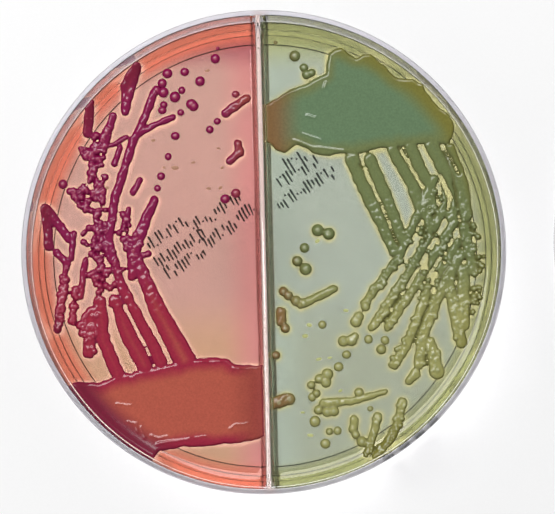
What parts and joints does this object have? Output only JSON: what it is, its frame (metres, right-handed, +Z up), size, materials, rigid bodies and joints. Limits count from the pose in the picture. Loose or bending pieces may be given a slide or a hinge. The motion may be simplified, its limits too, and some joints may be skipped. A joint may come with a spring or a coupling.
{
  "type": "petri dish",
  "caption": "Round two-compartment petri dish: clear moulded base with a dividing wall, a poured agar bed and streaked growth in each half, and a loose clear lid upturned beside it.",
  "frame": {"origin": "centre of the dish's flat underside, where it rests on the bench", "axes": "+Z up out of the dish, +X from the dish towards the loose lid, +Y along the dividing wall"},
  "size_m": [0.1886, 0.0912, 0.014],
  "materials": {
    "clear_polystyrene": "clear, polished by the mould",
    "red_agar": "wet translucent gel",
    "green_agar": "wet translucent gel",
    "red_growth": "wet, glossy, slightly bumpy",
    "green_growth": "wet, glossy, slightly bumpy"
  },
  "bodies": {
    "dish": {"dish_base": "clear_polystyrene", "red_agar": "red_agar", "green_agar": "green_agar", "red_growth": "red_growth", "green_growth": "green_growth", "red_streak_1": "red_growth", "red_streak_2": "red_growth", "red_streak_3": "red_growth", "red_streak_4": "red_growth", "red_streak_5": "red_growth", "red_streak_6": "red_growth", "red_streak_7": "red_growth", "green_streak_1": "green_growth", "green_streak_2": "green_growth", "green_streak_3": "green_growth", "green_streak_4": "green_growth", "green_streak_5": "green_growth", "green_streak_6": "green_growth", "green_streak_7": "green_growth", "green_streak_8": "green_growth", "green_streak_9": "green_growth", "green_streak_10": "green_growth", "green_streak_11": "green_growth", "red_colony_1": "red_growth", "red_colony_2": "red_growth", "red_colony_3": "red_growth", "red_colony_4": "red_growth", "red_colony_5": "red_growth", "red_colony_6": "red_growth", "red_colony_7": "red_growth", "red_colony_8": "red_growth", "red_colony_9": "red_growth", "red_colony_10": "red_growth", "red_colony_11": "red_growth", "red_colony_12": "red_growth", "red_colony_13": "red_growth", "red_colony_14": "red_growth", "green_colony_1": "green_growth", "green_colony_2": "green_growth", "green_colony_3": "green_growth", "green_colony_4": "green_growth", "green_colony_5": "green_growth", "green_colony_6": "green_growth", "green_colony_7": "green_growth", "green_colony_8": "green_growth", "green_colony_9": "green_growth", "green_colony_10": "green_growth", "green_colony_11": "green_growth", "green_colony_12": "green_growth", "green_colony_13": "green_growth", "green_colony_14": "green_growth"},
    "lid": {"lid": "clear_polystyrene"}
  },
  "joints": [
    {"name": "lid_turn_over", "type": "hinge", "parent": "dish", "child": "lid", "pos_m": [0.0495, 0, 0.0081], "axis": [0, -1, 0], "range_deg": [0, 180]}
  ]
}
